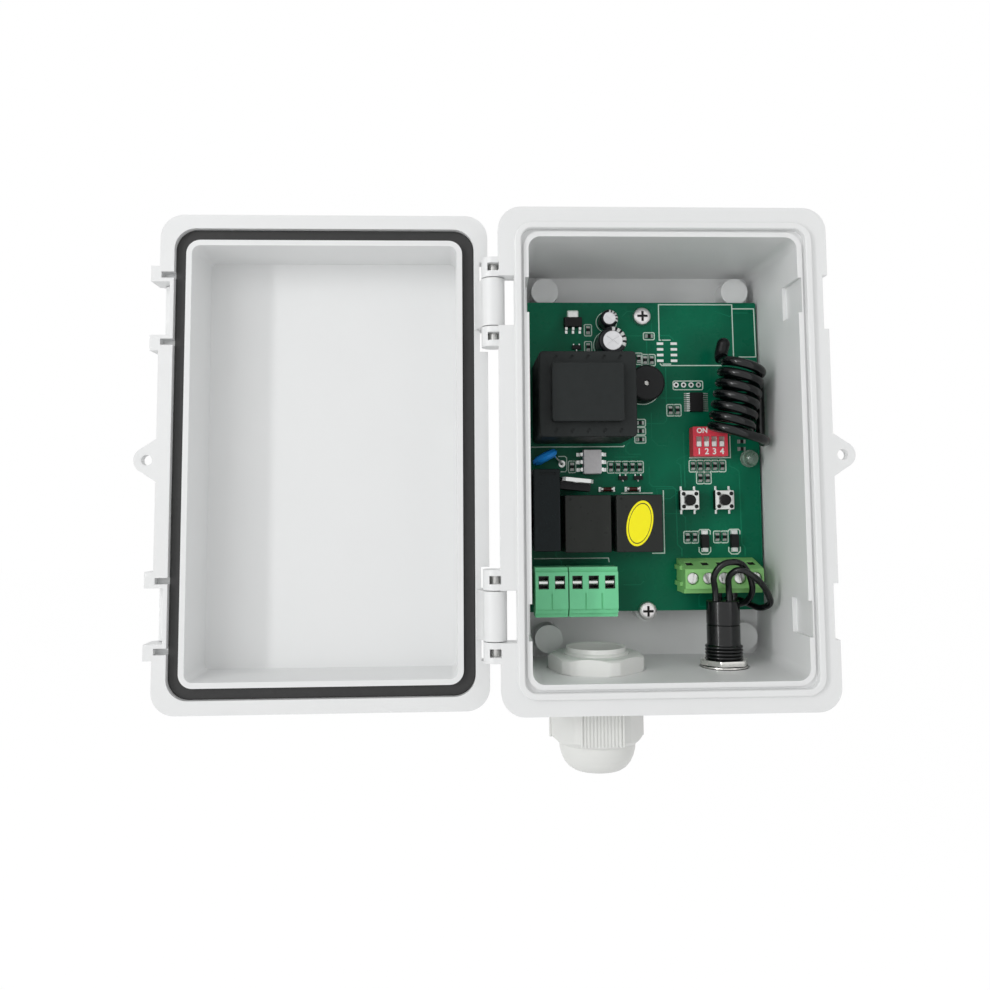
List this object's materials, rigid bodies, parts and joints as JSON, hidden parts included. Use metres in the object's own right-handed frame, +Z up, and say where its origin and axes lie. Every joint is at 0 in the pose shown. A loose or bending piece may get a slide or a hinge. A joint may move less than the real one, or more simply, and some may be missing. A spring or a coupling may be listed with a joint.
{
  "type": "roller shutter control board",
  "caption": "Wall box with a hinged cover standing open on a green relay control board with plug terminals, a wire antenna, a push switch and a cable gland.",
  "frame": {"origin": "centre of the box's back face, on the wall", "axes": "+X to the right and +Z up as the open box is seen from the front; -Y points out of the wall to the front"},
  "size_m": [0.215, 0.0505, 0.1709],
  "materials": {
    "housing": "satin",
    "latch": "satin",
    "gasket": "matt",
    "steel_pin": "bright",
    "screw": "zinc plated",
    "board": "solder mask",
    "potting": "moulded",
    "black_case": "moulded",
    "chip": "moulded",
    "capacitor": "sleeved can",
    "red_plastic": "moulded",
    "white_plastic": "moulded",
    "button_metal": "tin plated",
    "relay_case": "moulded",
    "sticker": "paper",
    "blue_block": "moulded",
    "blue_dip": "dipped",
    "transistor": "tab with moulded body",
    "lamp": "clear resin",
    "glass_diode": "glass",
    "plug_green": "moulded",
    "header_green": "moulded",
    "strip_green": "moulded",
    "clamp": "zinc plated",
    "antenna": "glossy insulation",
    "wire": "satin insulation",
    "switch_black": "moulded",
    "nickel": "nickel plated",
    "switch_red": "moulded",
    "nylon": "moulded",
    "seal": "moulded"
  },
  "bodies": {
    "base": {"base_housing": "housing", "hinge_pins": "steel_pin", "circuit_board": "board", "board_screws": "screw", "transformer": "potting", "buzzer": "black_case", "large_capacitor": "capacitor", "small_capacitor": "capacitor", "voltage_regulator": "chip", "controller_chip": "chip", "chip_parts": "chip", "power_diodes": "chip", "glass_diodes": "glass_diode", "small_transistors": "chip", "address_switch_body": "red_plastic", "left_button_body": "button_metal", "right_button_body": "button_metal", "left_relay": "relay_case", "right_relay": "relay_case", "relay_sticker": "sticker", "film_capacitor": "blue_block", "disc_capacitor": "blue_dip", "optocoupler": "white_plastic", "power_transistor": "transistor", "indicator_lamp": "lamp", "two_way_header": "header_green", "three_way_header": "header_green", "five_way_terminal": "strip_green", "five_way_screws": "clamp", "five_way_clamps": "clamp", "antenna_coil": "antenna", "antenna_cap": "antenna", "left_switch_wire": "wire", "right_switch_wire": "wire", "push_switch_body": "switch_black", "push_switch_nut": "nickel", "push_switch_washer": "nickel", "gland_body": "nylon", "gland_washer": "seal", "gland_lock_nut": "nylon", "gland_seal": "seal"},
    "lid": {"cover": "housing", "cover_gasket": "gasket", "latch_pins": "steel_pin"},
    "top_latch": {"upper_latch": "latch"},
    "bottom_latch": {"lower_latch": "latch"},
    "compression_nut": {"gland_dome_nut": "nylon"},
    "left_button": {"left_button_plunger": "black_case"},
    "right_button": {"right_button_plunger": "black_case"},
    "slider_1": {"address_slider_1": "white_plastic"},
    "slider_2": {"address_slider_2": "white_plastic"},
    "slider_3": {"address_slider_3": "white_plastic"},
    "slider_4": {"address_slider_4": "white_plastic"},
    "switch_button": {"push_switch_button": "switch_red"},
    "two_way_connector": {"two_way_plug": "plug_green", "two_way_clamps": "clamp"},
    "three_way_connector": {"three_way_plug": "plug_green", "three_way_clamps": "clamp"}
  },
  "joints": [
    {"name": "cover_hinge", "type": "hinge", "parent": "base", "child": "lid", "pos_m": [-0.0512, -0.0445, 0], "axis": [0, 0, 1], "range_deg": [0, 180]},
    {"name": "top_latch_pivot", "type": "hinge", "parent": "lid", "child": "top_latch", "pos_m": [-0.1502, -0.0322, 0.0461], "axis": [0, 0, 1], "range_deg": [0, 180]},
    {"name": "bottom_latch_pivot", "type": "hinge", "parent": "lid", "child": "bottom_latch", "pos_m": [-0.1502, -0.0322, -0.0461], "axis": [0, 0, 1], "range_deg": [0, 180]},
    {"name": "compression_nut_turn", "type": "hinge", "parent": "base", "child": "compression_nut", "pos_m": [-0.019, -0.025, -0.085], "axis": [0, 0, -1], "range_deg": [0, 360]},
    {"name": "left_button_press", "type": "slide", "parent": "base", "child": "left_button", "axis": [0, 1, 0], "range_m": [0, 0.0003], "stiffness_N_per_m": 400},
    {"name": "right_button_press", "type": "slide", "parent": "base", "child": "right_button", "axis": [0, 1, 0], "range_m": [0, 0.0003], "stiffness_N_per_m": 400},
    {"name": "slider_1_slide", "type": "slide", "parent": "base", "child": "slider_1", "axis": [0, 0, 1], "range_m": [0, 0.00155]},
    {"name": "slider_2_slide", "type": "slide", "parent": "base", "child": "slider_2", "axis": [0, 0, 1], "range_m": [0, 0.00155]},
    {"name": "slider_3_slide", "type": "slide", "parent": "base", "child": "slider_3", "axis": [0, 0, 1], "range_m": [0, 0.00155]},
    {"name": "slider_4_slide", "type": "slide", "parent": "base", "child": "slider_4", "axis": [0, 0, 1], "range_m": [0, 0.00155]},
    {"name": "switch_button_press", "type": "slide", "parent": "base", "child": "switch_button", "axis": [0, 0, 1], "range_m": [0, 0.002], "stiffness_N_per_m": 400},
    {"name": "two_way_plug_pull", "type": "slide", "parent": "base", "child": "two_way_connector", "axis": [0, -1, 0], "range_m": [0, 0.009]},
    {"name": "three_way_plug_pull", "type": "slide", "parent": "base", "child": "three_way_connector", "axis": [0, -1, 0], "range_m": [0, 0.009]}
  ]
}
